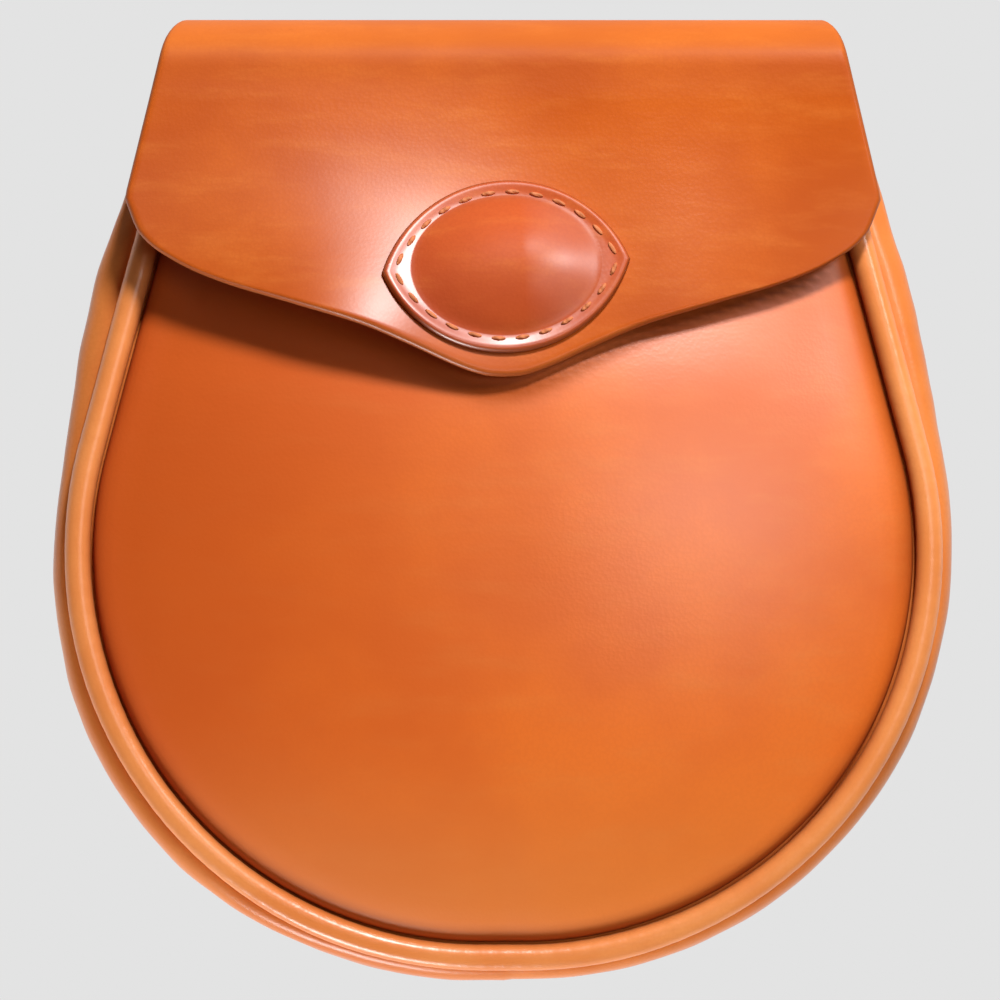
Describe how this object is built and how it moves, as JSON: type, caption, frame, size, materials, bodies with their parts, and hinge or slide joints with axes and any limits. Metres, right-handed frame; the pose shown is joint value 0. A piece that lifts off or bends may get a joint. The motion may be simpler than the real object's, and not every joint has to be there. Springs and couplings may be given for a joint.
{
  "type": "sporran pouch",
  "caption": "Domed leather belt pouch with a rolled-over top flap, a padded lens-shaped boss, a welted front seam and a bulging gusset, lying on its flat back",
  "frame": {"origin": "middle of the pouch's outline, on the surface that its back lies on", "axes": "+Z out of the front, +Y towards the fold at the top, +X to the right as seen from the front"},
  "size_m": [0.1908, 0.2052, 0.0473],
  "materials": {
    "leather": "smooth waxed tan leather",
    "boss_leather": "smooth waxed tan leather over padding",
    "stud_metal": "plain satin brass"
  },
  "bodies": {
    "root": {"back_and_flap": "leather", "front_panel": "leather", "gusset": "leather", "welt": "leather", "boss": "boss_leather", "closure_stud": "stud_metal"}
  },
  "joints": []
}
